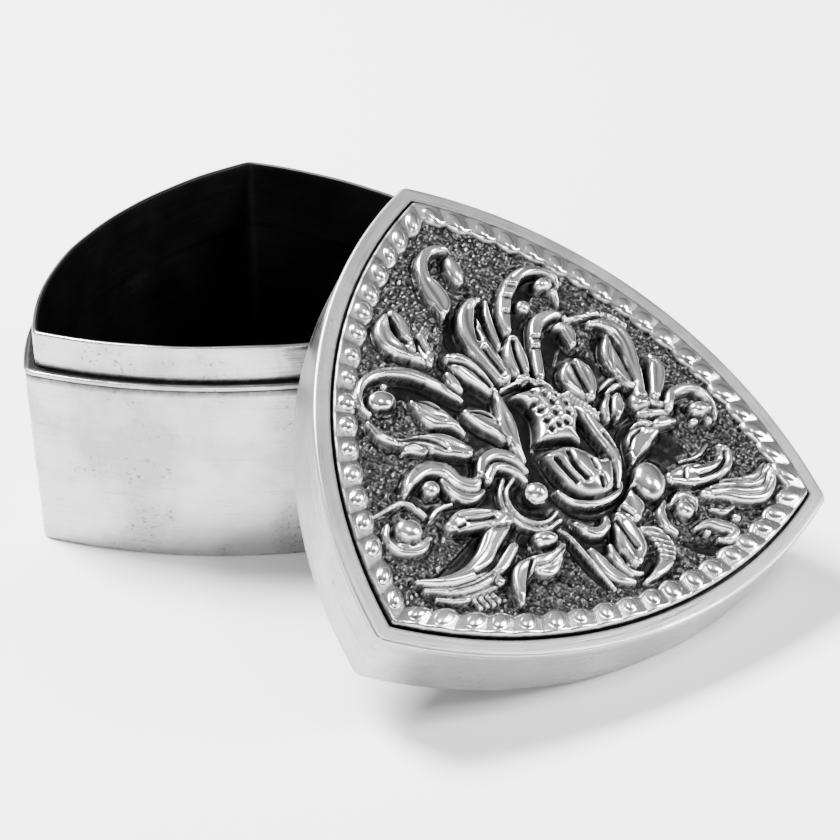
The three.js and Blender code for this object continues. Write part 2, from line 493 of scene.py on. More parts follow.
def draw_top_scroll(r):
    """The hooked scroll below the top corner and the tall leaves under it."""
    r.leaf([(-3.7, 13.7, 0.2), (-3.2, 15.1, 0.9), (-3.3, 16.6, 1.0), (-3.5, 18.2, 0.62),
        (-2.9, 19.8, 0.55), (-1.6, 20.8, 0.48), (-0.2, 20.7, 0.4), (0.6, 19.7, 0.25)])
    r.boss(-0.1, 18.2, 0.85, 1.75, 1.0, turn=-6)
    r.leaf([(1.6, 14.5, 0.15), (0.9, 13.0, 0.35), (0.5, 11.0, 0.35), (0.3, 9.2, 0.3)], 0.5)
    r.leaf([(0.9, 14.7, 0.15), (-0.4, 14.3, 0.5), (-1.5, 12.8, 0.95), (-1.9, 10.8, 1.1), (-1.6, 8.6, 1.0),
        (-1.2, 6.2, 0.8)], 1.1)
    r.groove([(-0.2, 13.6), (-1.1, 12.1), (-1.6, 10.4)], 0.2, 0.55)
    r.groove([(-1.65, 9.3), (-1.5, 8.0), (-1.2, 6.5)], 0.2, 0.55)
    r.groove([(-0.9, 12.4), (-0.9, 10.2), (-0.7, 8.0)], 0.13, 0.25)
    r.leaf([(1.7, 9.5, 0.5), (1.2, 8.2, 0.95), (0.9, 6.8, 0.95), (0.6, 5.4, 0.6)], 1.15)
    r.groove([(1.5, 9.3), (1.05, 7.8), (0.8, 5.9)], 0.2, 0.6)
    r.leaf([(-5.4, 9.2, 0.55), (-4.6, 8.5, 0.95), (-3.8, 6.9, 0.9), (-3.0, 4.8, 0.4)], 1.05)
    r.groove([(-5.7, 8.9), (-4.4, 8.2), (-3.6, 7.0), (-3.1, 5.4)], 0.2, 0.55)
    r.leaf([(-6.3, 7.8, 0.35), (-6.2, 6.9, 0.5), (-5.9, 6.0, 0.3)], 0.7)


def draw_upper_right(r):
    """Two notched stems with hooked ends, their berries and the wide arch."""
    r.leaf([(1.8, 10.5, 0.35), (2.3, 12.1, 0.55), (3.2, 13.7, 0.6), (4.5, 15.1, 0.62), (5.9, 16.1, 0.55),
        (7.4, 16.4, 0.48), (8.8, 16.0, 0.4), (9.6, 15.1, 0.35), (9.6, 14.1, 0.2)], 0.9)
    for x, y in ((2.6, 12.5), (3.5, 14.1), (4.6, 15.2)):
        r.groove([(x - 0.2, y + 0.1), (x + 0.5, y - 0.2)], 0.16, 0.4)
    r.groove([(5.2, 15.9), (7.2, 16.6), (8.8, 16.2)], 0.1, 0.18)
    r.leaf([(8.7, 12.2, 0.12), (8.8, 13.4, 0.35), (8.5, 14.4, 0.6)], 0.8)
    r.boss(8.1, 14.6, 1.05, 0.72, 1.0, turn=8)
    r.boss(4.9, 12.8, 0.78, 0.78, 0.75)
    r.leaf([(2.3, 4.8, 0.4), (2.8, 6.0, 0.5), (3.3, 7.3, 0.5), (4.0, 8.9, 0.52), (4.8, 10.2, 0.6),
        (5.8, 11.0, 0.58), (7.4, 11.2, 0.42), (8.4, 10.7, 0.25)], 0.9)
    for x, y in ((3.6, 8.1), (4.2, 9.1)):
        r.groove([(x - 0.3, y + 0.1), (x + 0.4, y - 0.1)], 0.17, 0.45)
    r.leaf([(6.8, 9.8, 0.2), (7.5, 9.6, 0.5), (7.8, 8.8, 0.65), (7.5, 7.6, 0.4)], 1.0)
    r.leaf([(8.4, 10.5, 0.25), (10.3, 10.4, 0.3), (12.2, 10.3, 0.33), (13.5, 9.4, 0.33),
        (14.4, 8.3, 0.22)], 0.55)
    for x, y in ((9.6, 10.4), (11.0, 10.5), (12.4, 10.2), (13.3, 9.5), (13.9, 8.8)):
        r.dot(x, y, 0.16, 0.25)
    r.leaf([(10.6, 9.3, 0.3), (12.0, 8.9, 0.5), (13.0, 7.6, 0.72), (13.1, 6.0, 0.7), (12.7, 4.3, 0.65),
        (12.1, 2.4, 0.6), (11.6, 0.9, 0.55)])
    r.leaf([(11.6, 7.6, 0.25), (11.0, 6.2, 0.6), (10.8, 4.8, 0.75), (11.0, 3.4, 0.6),
        (11.1, 2.1, 0.4)], 0.8)
    r.groove([(11.9, 7.3), (12.15, 6.2), (11.8, 4.5), (11.6, 2.3)], 0.2, 0.5)
    r.groove([(11.5, 6.8), (10.9, 5.4), (10.4, 4.3)], 0.12, 0.2)
    r.leaf([(14.8, 4.3, 0.3), (14.9, 3.1, 0.7), (14.1, 1.7, 0.72), (13.1, 0.4, 0.5)], 0.9)
    r.groove([(13.9, 4.2), (13.55, 2.9), (12.9, 1.6), (12.3, 0.7)], 0.24, 0.6)


def draw_middle_right(r):
    """The cluster right of the bloom: a split petal, a band of grains and the short leaves."""
    r.leaf([(5.9, 5.5, 0.45), (5.4, 4.5, 0.78), (5.6, 3.2, 0.75), (6.1, 1.8, 0.4)])
    r.leaf([(6.9, 5.6, 0.45), (7.2, 4.5, 0.72), (7.0, 3.2, 0.7), (6.4, 1.8, 0.4)])
    r.groove([(6.35, 5.7), (6.3, 4.2), (6.3, 2.3)], 0.2, 0.6)
    r.leaf([(4.2, 2.9, 0.3), (4.8, 1.7, 0.55), (5.7, 0.6, 0.55), (6.2, -0.2, 0.3)], 0.55)
    for x, y in smooth_line([(4.3, 2.8), (5.0, 1.5), (6.2, 0.0)], 4):
        for offset in (-0.28, 0.28):
            r.boss(x + offset * 0.8, y + offset * 0.6, 0.2, 0.2, 0.72, sink=0.12)
    r.leaf([(8.2, 2.6, 0.15), (9.4, 3.1, 0.25), (10.7, 3.2, 0.15)], 0.55)
    r.leaf([(8.4, 1.9, 0.15), (9.7, 2.4, 0.28), (10.9, 2.4, 0.2)], 0.6)
    r.leaf([(6.9, -0.8, 0.25), (7.5, 0.3, 0.62), (8.3, 1.2, 0.45)], 0.9)
    r.leaf([(7.9, -0.9, 0.25), (8.6, 0.2, 0.6), (9.1, 1.2, 0.35)], 0.9)
    r.groove([(8.4, 1.3), (7.7, 0.2), (7.2, -0.7)], 0.17, 0.5)
    r.boss(11.4, 0.2, 1.5, 1.15, 1.05, turn=30)
    r.leaf([(12.4, -0.3, 0.35), (13.4, -0.8, 0.4), (14.2, -1.3, 0.25)], 0.8)
    r.leaf([(10.4, -1.1, 0.25), (12.0, -1.4, 0.38), (13.6, -1.7, 0.28)], 0.75)
    r.leaf([(11.0, -2.5, 0.3), (12.4, -2.5, 0.48), (13.6, -2.7, 0.25)], 0.7)
    r.leaf([(13.7, -1.4, 0.35), (14.6, -0.2, 0.5), (15.9, 0.15, 0.5), (17.3, -0.1, 0.45),
        (18.1, -1.0, 0.4), (18.2, -2.4, 0.38), (17.9, -3.6, 0.22)])
    r.groove([(14.9, -0.4), (16.2, -0.2), (17.5, -0.6)], 0.11, 0.22)
    r.boss(16.8, -2.3, 1.15, 0.85, 1.0, turn=-15)
    r.boss(15.5, -3.4, 0.55, 0.42, 0.7)
    r.boss(17.2, -3.6, 0.4, 0.5, 0.6)
    r.leaf([(6.8, -5.5, 0.35), (7.9, -4.3, 0.85), (9.2, -3.5, 1.0), (10.7, -3.3, 0.45)])
    r.groove([(7.2, -4.4), (8.2, -3.3), (9.4, -2.8)], 0.17, 0.45)
    r.leaf([(8.6, -1.9, 0.15), (9.9, -1.8, 0.35), (10.9, -2.1, 0.3)], 0.5)


def draw_lower_right(r):
    """The right-hand berry, the tendril, the long leaf and the curls near the corner."""
    r.leaf([(12.2, -6.7, 0.12), (13.4, -6.8, 0.16), (14.6, -6.5, 0.16), (15.8, -5.8, 0.12)], 0.45)
    r.leaf([(9.9, -8.2, 0.6), (11.9, -8.4, 1.0), (14.0, -8.7, 0.82), (15.9, -8.4, 0.75),
        (16.9, -7.2, 0.5), (16.6, -6.4, 0.2)], 0.85)
    r.groove([(12.8, -8.9), (14.8, -8.8), (16.2, -8.0), (16.7, -7.2)], 0.19, 0.5)
    r.groove([(11.7, -7.7), (11.1, -8.6)], 0.17, 0.4)
    r.groove([(12.6, -7.9), (14.4, -8.1), (15.7, -7.8)], 0.1, 0.2)
    r.leaf([(15.0, -9.8, 0.15), (17.0, -10.3, 0.35), (18.8, -10.3, 0.35), (20.5, -9.4, 0.2)], 0.55)
    r.leaf([(12.2, -10.7, 0.4), (14.2, -10.9, 0.75), (16.0, -11.6, 0.95), (18.0, -12.0, 0.95),
        (19.6, -11.2, 0.7), (20.5, -9.9, 0.3)], 0.9)
    r.groove([(13.0, -10.4), (15.2, -10.8), (17.0, -11.4), (18.7, -11.4), (19.9, -10.4)], 0.13, 0.35)
    r.groove([(12.8, -11.0), (14.8, -11.3), (16.6, -12.0), (18.3, -12.2), (19.7, -11.3)], 0.12, 0.28)
    r.leaf([(12.3, -12.2, 0.15), (13.4, -12.8, 0.3), (14.6, -12.6, 0.2)], 0.5)
    r.boss(7.4, -7.9, 1.62, 2.05, 1.35, turn=-18)
    r.leaf([(5.5, -7.8, 0.12), (6.4, -7.4, 0.5)], 0.9, sink=0)
    r.leaf([(8.0, -10.2, 0.25), (7.0, -11.1, 0.4), (6.8, -12.4, 0.42), (7.4, -13.4, 0.25)], 0.6)
    r.leaf([(8.4, -10.6, 0.2), (9.6, -10.3, 0.5), (10.6, -10.9, 0.45), (10.4, -11.9, 0.25)], 0.9)
    r.boss(9.4, -11.6, 0.85, 0.95, 1.0, turn=25)
    r.leaf([(9.5, -13.6, 0.2), (10.9, -13.5, 0.4), (12.2, -14.1, 0.5), (13.2, -15.0, 0.42),
        (12.2, -15.6, 0.38), (11.2, -15.3, 0.2)], 0.75)
    r.boss(10.5, -14.3, 0.45, 0.35, 0.5)
    r.boss(14.2, -13.8, 0.48, 0.48, 0.6)


def draw_bottom(r):
    """The petals and ribs hanging below the bloom."""
    r.leaf([(-1.7, -12.6, 0.3), (-1.4, -14.2, 0.6), (-0.6, -15.7, 0.5), (0.7, -16.6, 0.25)], 0.5)
    r.channel([(-3.7, -10.5, 0.15), (-3.25, -12.4, 0.35), (-2.75, -14.4, 0.42),
        (-2.0, -16.4, 0.25)], HOLLOW)
    r.leaf([(-3.7, -9.7, 0.1), (-3.1, -10.8, 0.15), (-2.7, -12.4, 0.18), (-2.25, -14.4, 0.2),
        (-1.5, -16.8, 0.12)], 0.85)
    r.leaf([(-1.9, -9.8, 0.25), (-1.2, -10.8, 0.45), (-0.2, -11.2, 0.5), (0.8, -10.8, 0.42),
        (1.3, -9.9, 0.25)], 0.8)
    r.leaf([(0.3, -12.7, 0.25), (0.2, -14.1, 0.4), (0.9, -15.6, 0.35), (2.0, -16.1, 0.2)], 0.55)
    r.leaf([(4.2, -12.1, 0.3), (5.3, -13.1, 0.7), (5.5, -14.7, 0.8), (4.6, -15.9, 0.6), (3.1, -16.6, 0.4),
        (1.8, -17.0, 0.2)], 0.7)
    for y in (-12.6, -13.2, -13.8, -14.4, -15.0, -15.6):
        r.groove([(4.3, y + 0.35), (5.2, y - 0.1), (6.1, y - 0.7)], 0.12, 0.32)
    r.leaf([(4.6, -8.5, 0.6), (4.4, -9.6, 1.2), (4.1, -10.6, 0.7)], 0.85)
    r.groove([(3.3, -9.6), (3.6, -10.2), (3.9, -10.7)], 0.17, 0.45)
    r.leaf([(2.3, -10.4, 0.4), (2.4, -11.9, 1.05), (2.2, -13.6, 1.2), (1.8, -14.8, 0.6)], 1.1)
    r.groove([(1.9, -10.8), (2.0, -12.2), (2.3, -13.9)], 0.19, 0.55)


def draw_lower_left(r):
    """The curl under the left berry and the broad ribbed leaf that reaches the corner."""
    r.leaf([(-4.3, -11.4, 0.3), (-5.8, -12.2, 0.5), (-7.8, -12.2, 0.6), (-9.4, -12.6, 0.7),
        (-10.4, -14.0, 0.55), (-11.0, -15.4, 0.25)], 0.9)
    r.groove([(-8.0, -11.9), (-9.0, -13.0), (-9.9, -14.4)], 0.17, 0.5)
    r.leaf([(-8.0, -12.9, 0.2), (-6.6, -13.3, 0.45), (-5.2, -12.5, 0.3), (-4.3, -11.9, 0.15)], 0.6)
    r.boss(-5.6, -10.3, 1.3, 0.78, 1.0, turn=-12)
    r.leaf([(-12.0, -13.0, 0.3), (-14.0, -13.2, 0.4), (-16.2, -13.3, 0.35), (-18.2, -12.6, 0.2)], 0.5)
    for x in (-14.9, -14.2, -13.5, -12.9):
        r.leaf([(x, -13.7, 0.15), (x + 0.25, -14.6, 0.18)], 0.4)
    r.leaf([(-9.0, -10.2, 0.45), (-11.0, -11.4, 0.6), (-13.5, -12.1, 0.65), (-16.2, -12.2, 0.55),
        (-18.9, -11.5, 0.25)], 0.75)
    r.groove([(-12.2, -12.0), (-14.5, -12.4), (-17.0, -12.3)], 0.12, 0.28)
    r.leaf([(-8.2, -7.4, 0.6), (-10.3, -8.8, 0.82), (-12.1, -10.4, 0.8), (-14.4, -11.3, 0.6),
        (-17.0, -11.4, 0.42), (-19.4, -10.7, 0.22)], 1.0)
    r.groove([(-9.0, -9.2), (-10.4, -10.0), (-11.9, -11.2), (-13.8, -11.6)], 0.17, 0.5)
    r.groove([(-10.6, -8.2), (-12.2, -9.7), (-14.4, -10.8)], 0.1, 0.2)
    r.boss(-11.75, -12.8, 0.5, 0.5, 0.55)
    r.leaf([(-13.8, -6.7, 0.5), (-12.2, -6.5, 0.95), (-10.2, -6.8, 0.85), (-8.3, -7.4, 0.6)])
    r.groove([(-13.2, -7.0), (-12.4, -6.9)], 0.16, 0.45)
    r.groove([(-12.0, -6.6), (-10.7, -6.9), (-9.4, -7.0)], 0.17, 0.5)
    r.groove([(-12.6, -6.0), (-11.0, -6.2), (-9.2, -6.5)], 0.11, 0.25)


def draw_left(r):
    """The arches, buds and split leaves of the left side."""
    r.leaf([(-20.2, -3.6, 0.12), (-18.6, -3.3, 0.2), (-17.0, -3.0, 0.24), (-16.0, -3.6, 0.24),
        (-15.3, -4.9, 0.2)], 0.5)
    r.boss(-17.6, -5.8, 1.3, 1.15, 0.9, turn=-25)
    r.leaf([(-15.9, -7.0, 0.2), (-17.4, -7.9, 0.3), (-19.2, -7.4, 0.32), (-19.9, -6.0, 0.28),
        (-19.2, -4.7, 0.2)], 0.5)
    r.leaf([(-16.2, -6.9, 0.15), (-17.6, -7.3, 0.2), (-18.9, -6.8, 0.2)], 0.4, sink=0.1)
    r.leaf([(-15.2, -5.4, 0.15), (-13.9, -4.6, 0.22), (-12.4, -4.5, 0.2)], 0.55)
    r.boss(-13.7, -2.6, 0.95, 0.85, 0.85)
    r.leaf([(-12.1, -2.1, 0.35), (-11.7, -3.5, 0.55), (-10.5, -4.4, 0.6), (-9.1, -4.2, 0.35)], 0.75)
    r.leaf([(-16.4, -2.5, 0.25), (-15.2, -1.4, 0.5), (-13.3, -0.7, 0.6), (-11.6, -1.3, 0.6),
        (-10.9, -2.7, 0.55), (-9.7, -3.4, 0.6), (-8.9, -3.0, 0.35)], 1.0)
    r.groove([(-14.2, -0.6), (-12.8, -0.3), (-11.6, -0.9)], 0.1, 0.2)
    r.leaf([(-16.3, 5.1, 0.25), (-15.8, 3.5, 0.4), (-14.3, 2.4, 0.45), (-12.3, 1.9, 0.7),
        (-10.3, 1.1, 1.0), (-8.6, -0.1, 0.6)])
    r.groove([(-14.6, 2.6), (-12.4, 2.2), (-11.0, 1.4), (-10.4, 0.6)], 0.17, 0.45)
    r.leaf([(-14.4, 1.6, 0.15), (-13.4, 1.5, 0.3), (-12.4, 0.9, 0.2)], 0.6)
    r.leaf([(-11.2, 5.9, 0.35), (-10.4, 5.0, 0.95), (-9.7, 4.0, 1.05), (-8.6, 2.9, 0.5), (-7.9, 1.6, 0.2)])
    r.groove([(-11.0, 6.0), (-10.0, 5.5), (-9.1, 4.6)], 0.19, 0.55)
    r.groove([(-11.2, 5.0), (-10.2, 4.1), (-9.1, 3.4)], 0.11, 0.22)
    r.leaf([(-15.7, 5.9, 0.2), (-16.1, 7.0, 0.3), (-15.6, 8.4, 0.36), (-14.3, 9.4, 0.42),
        (-12.3, 9.6, 0.46), (-10.1, 8.9, 0.5), (-8.5, 7.6, 0.48), (-7.4, 6.1, 0.34), (-6.3, 4.9, 0.16)])
    r.groove([(-13.6, 9.8), (-11.6, 9.6), (-9.6, 8.9), (-8.2, 7.6)], 0.1, 0.2)
    r.boss(-13.9, 6.9, 1.45, 1.2, 1.0, turn=-12)
    r.groove([(-14.6, 6.0), (-13.6, 5.8), (-12.8, 6.4)], 0.14, 0.35)
    r.boss(-13.0, 8.3, 0.45, 0.38, 0.6)
    r.leaf([(-9.2, 15.2, 0.35), (-10.1, 13.9, 0.8), (-10.3, 12.4, 0.8), (-9.0, 11.0, 0.7),
        (-7.8, 9.4, 0.3)])
    r.leaf([(-8.6, 15.3, 0.35), (-8.2, 14.1, 0.5), (-8.4, 12.6, 0.5), (-8.5, 11.3, 0.4)], 0.9)
    r.groove([(-9.0, 15.0), (-9.4, 13.4), (-8.7, 11.9)], 0.2, 0.6)
    r.leaf([(-7.0, 12.3, 0.4), (-7.0, 10.8, 0.6), (-7.5, 9.3, 0.3)], 0.75)
    r.groove([(-7.4, 12.2), (-7.35, 10.5)], 0.14, 0.45)
    r.groove([(-6.5, 12.0), (-6.6, 10.3)], 0.12, 0.35)
    r.leaf([(-6.6, 3.5, 0.45), (-5.5, 2.6, 0.9), (-4.6, 1.4, 0.8), (-4.2, 0.0, 0.35)])
    r.groove([(-6.4, 3.6), (-5.4, 3.2), (-4.5, 2.4)], 0.19, 0.55)
    r.leaf([(-8.3, -2.5, 0.45), (-7.4, -1.4, 0.5), (-5.9, -1.1, 0.5), (-4.6, -2.0, 0.42),
        (-3.9, -3.6, 0.25)], 0.85)
    r.leaf([(-8.0, -3.4, 0.35), (-6.8, -2.4, 0.42), (-5.6, -2.7, 0.36), (-4.8, -3.5, 0.3),
        (-4.4, -4.5, 0.2)], 0.85)


def draw_berry_curls(r):
    """The nest of fine ridges that wraps the left berry, and the dark crescent inside them."""

    def arc(radius, angles, widths):
        return [(*(np.array(BERRY[:2]) + radius * direction(a)), w) for a, w in zip(angles, widths)]

    r.channel(arc(1.85, (110, 150, 190, 230, 280), (0.2, 0.4, 0.5, 0.45, 0.2)), HOLLOW)
    for radius, first, last in ((2.5, 110, 310), (3.15, 125, 300)):
        ridge = arc(radius, np.linspace(first, last, 7), [0.2] * 7)
        r.leaf(ridge, 0.75 - 0.1 * (radius - 1.95), sink=0.2)


def draw_bloom(r):
    """The flower at the middle: a punched cap over a ribbed cup, held by two sepals."""
    r.channel([(-1.6, 3.9, 0.3), (-1.2, 2.6, 0.7), (-1.2, 1.2, 0.85), (-1.8, 0.0, 0.75),
        (-2.4, -1.2, 0.6), (-2.7, -3.0, 0.52), (-2.7, -4.8, 0.42), (-2.3, -6.6, 0.35)], HOLLOW)
    r.channel([(-2.3, -6.6, 0.3), (-1.2, -8.6, 0.3), (1.2, -9.5, 0.32), (3.3, -8.9, 0.35),
        (4.9, -7.6, 0.42), (6.0, -6.0, 0.48), (6.6, -4.3, 0.5), (7.2, -2.9, 0.45), (8.6, -1.8, 0.38),
        (9.9, -1.5, 0.2)], HOLLOW)
    r.leaf([(-2.8, 4.9, 0.2), (-3.0, 3.2, 0.5), (-3.3, 1.2, 0.75), (-3.6, -0.8, 0.45), (-3.5, -2.6, 0.15)])
    r.leaf([(-2.0, 4.9, 0.2), (-0.4, 5.2, 0.24), (0.9, 5.4, 0.26), (1.8, 4.7, 0.26), (2.7, 4.2, 0.25),
        (3.3, 3.1, 0.22), (4.1, 2.3, 0.15)])
    r.leaf([(-1.9, -6.3, 0.2), (-1.0, -7.7, 0.32), (0.8, -8.4, 0.36), (2.6, -8.4, 0.36),
        (4.1, -7.8, 0.32), (4.9, -6.9, 0.2)], 0.75)
    r.patch([(-1.7, -2.7), (-0.4, -2.4), (1.0, -2.4), (2.3, -3.1), (3.1, -4.0), (3.8, -4.6), (4.4, -4.2),
        (4.9, -3.4), (5.0, -4.8), (4.4, -6.5), (3.3, -7.7), (1.2, -7.9), (-0.3, -7.0),
        (-1.3, -5.2)], 1.55, 2.0)
    r.groove([(-0.9, -3.4), (-0.6, -4.8), (-0.1, -6.2)], 0.22, 0.6)
    r.groove([(0.6, -3.2), (0.35, -4.6), (0.9, -6.2)], 0.27, 0.7)
    r.groove([(2.5, -4.5), (2.3, -5.6)], 0.22, 0.55)
    r.groove([(2.3, -6.5), (2.2, -7.3)], 0.2, 0.5)
    r.groove([(4.45, -4.4), (4.3, -5.7), (3.6, -7.3)], 0.19, 0.55)
    r.leaf([(4.3, 1.4, 0.15), (4.8, -0.5, 0.5), (5.2, -2.3, 0.62), (5.35, -4.2, 0.5), (4.9, -6.0, 0.35),
        (4.1, -7.4, 0.2)], 1.15)
    r.groove([(5.3, -2.2), (5.6, -3.9)], 0.14, 0.4)
    r.patch([(-1.8, 4.0), (-0.7, 3.3), (-0.35, 2.2), (-0.5, 0.9), (-1.1, -0.5), (-1.5, -1.2), (0.2, -1.5),
        (1.8, -1.8), (2.7, -2.6), (2.9, -1.2), (3.9, 0.2), (4.0, 1.8), (3.4, 2.9), (2.5, 3.8), (1.2, 4.2),
        (-0.4, 4.05)], 1.45, 1.8)
    for x, y in ((0.6, 3.6), (1.45, 3.0), (2.6, 2.7), (0.0, 2.4), (1.75, 2.0), (0.3, 1.6),
                 (3.1, 1.6), (1.5, 0.9), (2.8, 0.6), (0.3, 0.4), (0.3, -0.5), (2.05, -0.3),
                 (1.2, -0.3)):
        r.dot(x, y, 0.37, 0.5)
    for x, y in smooth_line([(-1.3, -1.2), (0.4, -1.55), (1.9, -1.9)], 4):
        r.dot(x, y - 0.05, 0.14, 0.25)
    r.channel([(3.5, 0.0, 0.12), (3.4, -1.2, 0.42), (3.3, -2.6, 0.4), (3.6, -3.9, 0.15)], 0.1)


def seat_berry(r):
    """A round socket under the loose berry, with a low margin round it."""
    x, y, z = BERRY
    out = np.hypot(r.grid_x - x, r.grid_y - y)
    reach = BERRY_RADIUS + BERRY_GAP
    bowl = z - np.sqrt(np.clip(reach**2 - out**2, 0, None))
    r.z = np.where(out < reach, np.minimum(r.z, bowl), r.z)
    margin = (out >= reach) & (out < reach + BERRY_MARGIN)
    r.z = np.where(margin, np.minimum(r.z, BERRY_MARGIN_TOP), r.z)


def draw_relief():
    """The whole panel, from the outer forms in to the bloom that overlaps them."""
    relief = Relief()
    for draw in (draw_hollows, draw_left, draw_lower_left, draw_berry_curls, draw_bottom,
                 draw_lower_right, draw_middle_right, draw_upper_right, draw_top_scroll, draw_bloom):
        draw(relief)
    relief.stipple()
    relief.z = blurred(relief.z, 0.07)
    seat_berry(relief)
    relief.z = np.maximum(relief.z, PANEL_BACK + 0.15)
    return relief


def tarnish_of(relief):
    """Black in the hollows and dark on the ground, clean on the raised forms."""
    hollow = np.clip((blurred(relief.z, 0.3) - relief.z - 0.1) / 0.22, 0, 1)
    return np.clip(np.maximum(relief.stain, 0.8 * hollow), 0, 1)


def relief_top(relief):
    """The part of the sheet inside the beaded border: its points, quads and tarnish."""
    inside = inset_at(relief.grid_x, relief.grid_y) > FIELD_INSET
    cells = inside[:-1, :-1] & inside[1:, :-1] & inside[:-1, 1:] & inside[1:, 1:]
    used = np.zeros_like(inside)
    for dj in (0, 1):
        for di in (0, 1):
            used[dj : dj + cells.shape[0], di : di + cells.shape[1]] |= cells
    index = np.full(inside.shape, -1)
    index[used] = np.arange(used.sum())
    top = np.column_stack([relief.grid_x[used], relief.grid_y[used], relief.z[used]])
    j, i = np.nonzero(cells)
    quads = np.column_stack([index[j, i], index[j, i + 1], index[j + 1, i + 1], index[j + 1, i]])
    return top, quads, tarnish_of(relief)[used]


def open_edges(quads, count):
    """The edges that belong to one quad only, as start to end."""
    starts = quads.ravel()
    ends = np.roll(quads, -1, axis=1).ravel()
    single = ~np.isin(starts * count + ends, ends * count + starts)
    return dict(zip(starts[single].tolist(), ends[single].tolist()))


def closed_relief(relief):
    """The sheet's top, a wall down to its back and a fan that closes the back, with its tarnish."""
    top, quads, tarnish_and_shade = relief_top(relief)
    rim = open_edges(quads, len(top))
    order = [next(iter(rim))]
    while rim[order[-1]] != order[0]:
        order.append(rim[order[-1]])
    below = np.column_stack([top[order][:, :2], np.full(len(order), PANEL_BACK)])
    vertices = np.vstack([top, below, [(0, 0, PANEL_BACK)]])
    faces = quads.tolist()
    count, hub = len(top), len(vertices) - 1
    for k, a in enumerate(order):
        n = (k + 1) % len(order)
        faces += [(order[n], a, count + k, count + n), (count + n, count + k, hub)]
    return (vertices, faces, vertices), np.concatenate([tarnish_and_shade, np.ones(len(order) + 1)])


def border_mesh():
    """The ring of beads between the frame and the ground, its inner edge scalloped, with its tarnish."""
    half_long, half_wide, row_inset, scallop_inset, fine_steps = 0.82, 0.74, 3.05, 3.72, 480
    insets = np.linspace(BORDER_OUT, BORDER_IN, 25)
    profile = [(inset, 0.0) for inset in insets] + [(BORDER_IN, PANEL_BACK), (BORDER_OUT, PANEL_BACK)]
    vertices, faces, grain = sweep(np.array(profile), side_steps=fine_steps)
    middle = plan_outline(row_inset, side_steps=fine_steps)
    count = len(middle)
    steps = np.linalg.norm(np.roll(middle, -1, 0) - middle, axis=1)
    run = np.concatenate([[0], np.cumsum(steps)[:-1]])
    beads = round(steps.sum() / BEAD_PITCH / 3) * 3
    pick = np.random.default_rng(SEED)
    shift = pick.uniform(-0.16, 0.16, beads)
    size = pick.uniform(0.82, 1.12, beads)
    phase = run / steps.sum() * beads
    bead = np.floor(phase).astype(int) % beads
    local = (phase - np.floor(phase) - 0.5 - shift[bead] * 0.5) * 2
    size = size[bead]
    melt = melted_share(middle)
    lobe = 0.35 + 0.65 * np.cos(local * math.pi / 2).clip(0, 1)
    edge = scallop_inset + (0.5 + 0.15 * melt) * lobe * size - 0.15 * melt
    between = 0.45 + 0.55 * lobe
    between = between + (1 - between) * 0.6 * melt
    tarnish_and_shade = np.ones(len(vertices))
    for k, inset in enumerate(insets):
        rows = slice(k * count, (k + 1) * count)
        band = np.clip((edge - inset) / 0.5, 0, 1) * np.clip((inset - BORDER_OUT) / 0.35, 0, 1)
        band = np.sqrt(1 - (1 - band) ** 2)
        out = np.hypot(local * BEAD_PITCH / 2 / half_long, (inset - BEAD_INSET) / half_wide) / size
        dome = np.sqrt(np.clip(1 - out**2, 0, 1))
        raised = band * (0.7 + 0.3 * lobe) * (0.4 + 0.3 * melt)
        vertices[rows, 2] = GROUND - 0.2 + raised + dome * (0.42 - 0.27 * melt)
        clean = (0.74 + 0.26 * melt) * band * between + 0.6 * np.clip(dome * 1.6, 0, 1)
        tarnish_and_shade[rows] = np.clip(1 - clean, 0, 1)
    return (vertices, faces, grain), tarnish_and_shade


def melted_share(points):
    """How far the beads run together: not at all on the left side, fully on the other two."""
    away = np.degrees(np.arctan2(points[:, 1], points[:, 0])) - SIDE_ANGLES[1]
    away = np.abs((away + 180) % 360 - 180)
    return np.clip((away - MELT_START) / MELT_SPREAD, 0, 1)


# ---------------- finishes


class Nodes:
    """Small helpers for building a material."""

    def __init__(self, name):
        self.material = bpy.data.materials.new(name)
        self.material.use_nodes = True
        self.tree = self.material.node_tree
        self.shader = self.tree.nodes["Principled BSDF"]

    def add(self, kind, inputs=None, **settings):
        node = self.tree.nodes.new(kind)
        for key, value in settings.items():
            setattr(node, key, value)
        for key, value in (inputs or {}).items():
            if isinstance(value, bpy.types.NodeSocket):
                self.tree.links.new(value, node.inputs[key])
            else:
                node.inputs[key].default_value = value
        return node

    def noise(self, vector, scale, detail, roughness):
        inputs = {"Vector": vector, "Scale": scale, "Detail": detail, "Roughness": roughness}
        return self.add("ShaderNodeTexNoise", inputs).outputs[0]

    def ranged(self, value, low, high, to_low, to_high):
        inputs = {0: value, 1: low, 2: high, 3: to_low, 4: to_high}
        return self.add("ShaderNodeMapRange", inputs, clamp=True).outputs[0]

    def math(self, operation, a, b):
        return self.add("ShaderNodeMath", {0: a, 1: b}, operation=operation).outputs[0]

    def mixed(self, share, a, b):
        inputs = {0: share, 6: a, 7: b}
        return self.add("ShaderNodeMix", inputs, data_type="RGBA").outputs[2]

    def plug(self, socket, value):
        self.tree.links.new(value, self.shader.inputs[socket])


def grey(value, warmth=0.0):
    return (value * (1 + warmth), value, value * (1 - warmth), 1.0)


# Marks per metre, then brush lines per mm along and across the grain.
PATCHES, CLOUDS, DENTS, SPECKS, PITS = 55.0, 160.0, 420.0, 1500.0, 2400.0
BRUSH_LINES = (0.12, 0.12, 4.0)


